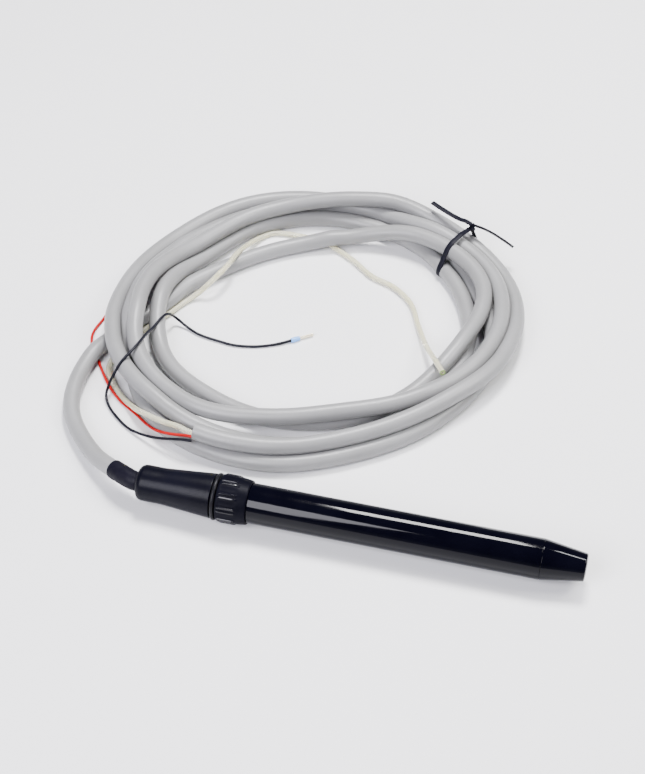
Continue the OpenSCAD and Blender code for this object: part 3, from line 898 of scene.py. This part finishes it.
TIE_ANGLE = 62
TIE_REACH_MM = 45
TIE_GAP_MM = 0.45
TIE_LOWEST_MM = 0.36
TIE_KNOT_MM = (12.2, 221.5, 21)
TIE_TAILS_MM = ((-12.8, 234, 23), (37.2, 218, 13.5))
TIE_SECTION = [(-1.4, -0.3), (-0.7, -0.38), (0, -0.46), (0.7, -0.38), (1.4, -0.3),
               (1.4, 0.3), (0.7, 0.38), (0, 0.46), (-0.7, 0.38), (-1.4, 0.3)]


def crossings(path, angle, centre, reach):
    """Where strands cross the upright plane at an angle through a centre: (distance out, height)."""
    way = np.array([math.cos(math.radians(angle)), math.sin(math.radians(angle))])
    flat = path[:, :2] - centre
    side = flat @ np.array([-way[1], way[0]])
    out = flat @ way
    found = []
    for k in np.nonzero(side[:-1] * side[1:] <= 0)[0]:
        if abs(out[k]) < reach:
            t = side[k] / (side[k] - side[k + 1] + 1e-12)
            height = path[k, 2] + t * (path[k + 1, 2] - path[k, 2])
            found.append((out[k] + t * (out[k + 1] - out[k]), height))
    return np.array(found)


def tight_outline(centre):
    """The line round the strands and up to the knot, in the tie's plane: (distance out, height)."""
    strands = crossings(cable_path, TIE_ANGLE, centre[:2], TIE_REACH_MM)
    turns = np.radians(np.arange(0, 360, 2))
    ways = np.stack([np.cos(turns), np.sin(turns)], 1)
    rims = [strands + (CABLE_R_MM + TIE_GAP_MM) * w for w in ways]
    pulled = np.array([[0, TIE_KNOT_MM[2] - 1.5], [-9, 20.5], [-17, 19.5]])
    around = np.array([max([*rim, *pulled], key=lambda point: point @ w) for rim, w in zip(rims, ways)])
    gaps = np.linalg.norm(np.roll(around, -1, 0) - around, axis=1)
    run = np.r_[0, np.cumsum(gaps)]
    closed = np.vstack([around, around[:1]])
    at = np.linspace(0, run[-1], 140, endpoint=False)
    line = np.stack([np.interp(at, run, closed[:, k]) for k in range(2)], 1)
    for _ in range(4):
        line = 0.5 * line + 0.25 * (np.roll(line, 1, 0) + np.roll(line, -1, 0))
    line[:, 1] = np.maximum(line[:, 1], TIE_LOWEST_MM)
    return line


def tie_loop():
    """The loop drawn tight round the bundle, as frames for the ribbon."""
    centre = np.array([*TIE_KNOT_MM[:2], 0.0])
    line = tight_outline(centre)
    way = np.array([math.cos(math.radians(TIE_ANGLE)), math.sin(math.radians(TIE_ANGLE)), 0])
    across = np.array([-way[1], way[0], 0])
    up = np.array([0, 0, 1.0])
    frames = []
    for k in range(len(line)):
        d = line[(k + 1) % len(line)] - line[k - 1]
        outward = np.array([d[1], -d[0]]) / np.linalg.norm(d)
        place = centre + line[k, 0] * way + line[k, 1] * up
        frames.append((place, -across, outward[0] * way + outward[1] * up))
    return frames


def ribbon_frames(points, twist_turns, twist_mm, lean):
    """Frames along a smooth line for a ribbon that turns about it over its first stretch."""
    fine = evenly(points, 0.6)
    rail = Rail(fine, up=(0.05, 0.1, 1))
    frames = []
    for at in np.linspace(0, rail.length, len(fine)):
        place, _, side, third = rail.frame(at)
        turn = lean + 2 * np.pi * twist_turns * min(1, at / twist_mm)
        across = math.cos(turn) * third + math.sin(turn) * side
        outward = math.cos(turn) * side - math.sin(turn) * third
        frames.append((place, across, outward))
    return frames


def tie_strand(phase, tail, bow):
    """One of the two ribbon ends: wound round the other in the knot, then free."""
    knot = np.array(TIE_KNOT_MM, float)
    lift = np.array([-0.35, 0.35, 0.87])
    lift = lift / np.linalg.norm(lift)
    side = np.cross(lift, [1, 0, 0])
    side = side / np.linalg.norm(side)
    third = np.cross(lift, side)
    points = []
    for t in np.linspace(0, 1, 13):
        turn = 2 * np.pi * 1.5 * t + phase
        round_it = math.cos(turn) * side + math.sin(turn) * third
        points.append(knot + (t * 3.6 - 2.4) * lift + 0.75 * round_it)
    top = points[-1]
    tail = np.array(tail, float)
    reach = tail - top
    bows = ((0.12, 0.3), (0.3, 0.8 * bow), (0.55, bow), (0.8, 0.6 * bow), (1, 0))
    points += [top + share * reach + rise * lift for share, rise in bows]
    return points


def make_tie():
    loop = swept("tie_loop", tie_loop(), TIE_SECTION, tie_mat, closed=True)
    add(loop, CABLE_SIDE, "tie_plastic", "twist_tie")
    pieces = [loop]
    for name, phase, lean, tail, bow in (
        ("tie_tail_long", 0, 1.9, TIE_TAILS_MM[0], -0.9),
        ("tie_tail_short", np.pi, 1.0, TIE_TAILS_MM[1], 1.6),
    ):
        frames = ribbon_frames(tie_strand(phase, tail, bow), 1.0, 9.0, lean)
        pieces.append(add(swept(name, frames, TIE_SECTION, tie_mat), CABLE_SIDE, "tie_plastic"))
    return pieces


tie = make_tie()


# ---------------------------------------------------------------- CAD parts and floor


def finish_cad_nodes():
    """Gives every CAD node its slot's finish, the ones that stand hidden behind a piece too."""
    for node_name, slot_name in slot_of_nodes().items():
        node = frame["nodes"][node_name]
        node.data.materials.clear()
        node.data.materials.append(made_finishes[slot_name])


def make_floor():
    """A pale card just below the object, reaching out of view on all sides."""
    material = finish_of("floor_card", (0.80, 0.80, 0.81), (0.83, 0.83, 0.84), (0.65, 0.80), 500, 0.03,
                         blotch=3)
    size = 6.0
    mesh = bpy.data.meshes.new("floor")
    corners = [(-size, -size, 0), (size, -size, 0), (size, size, 0), (-size, size, 0)]
    mesh.from_pydata(corners, [], [(0, 1, 2, 3)])
    mesh.materials.append(material)
    floor = bpy.data.objects.new("floor", mesh)
    floor.location.z = -0.0002
    bpy.context.scene.collection.objects.link(floor)


finish_cad_nodes()
make_floor()
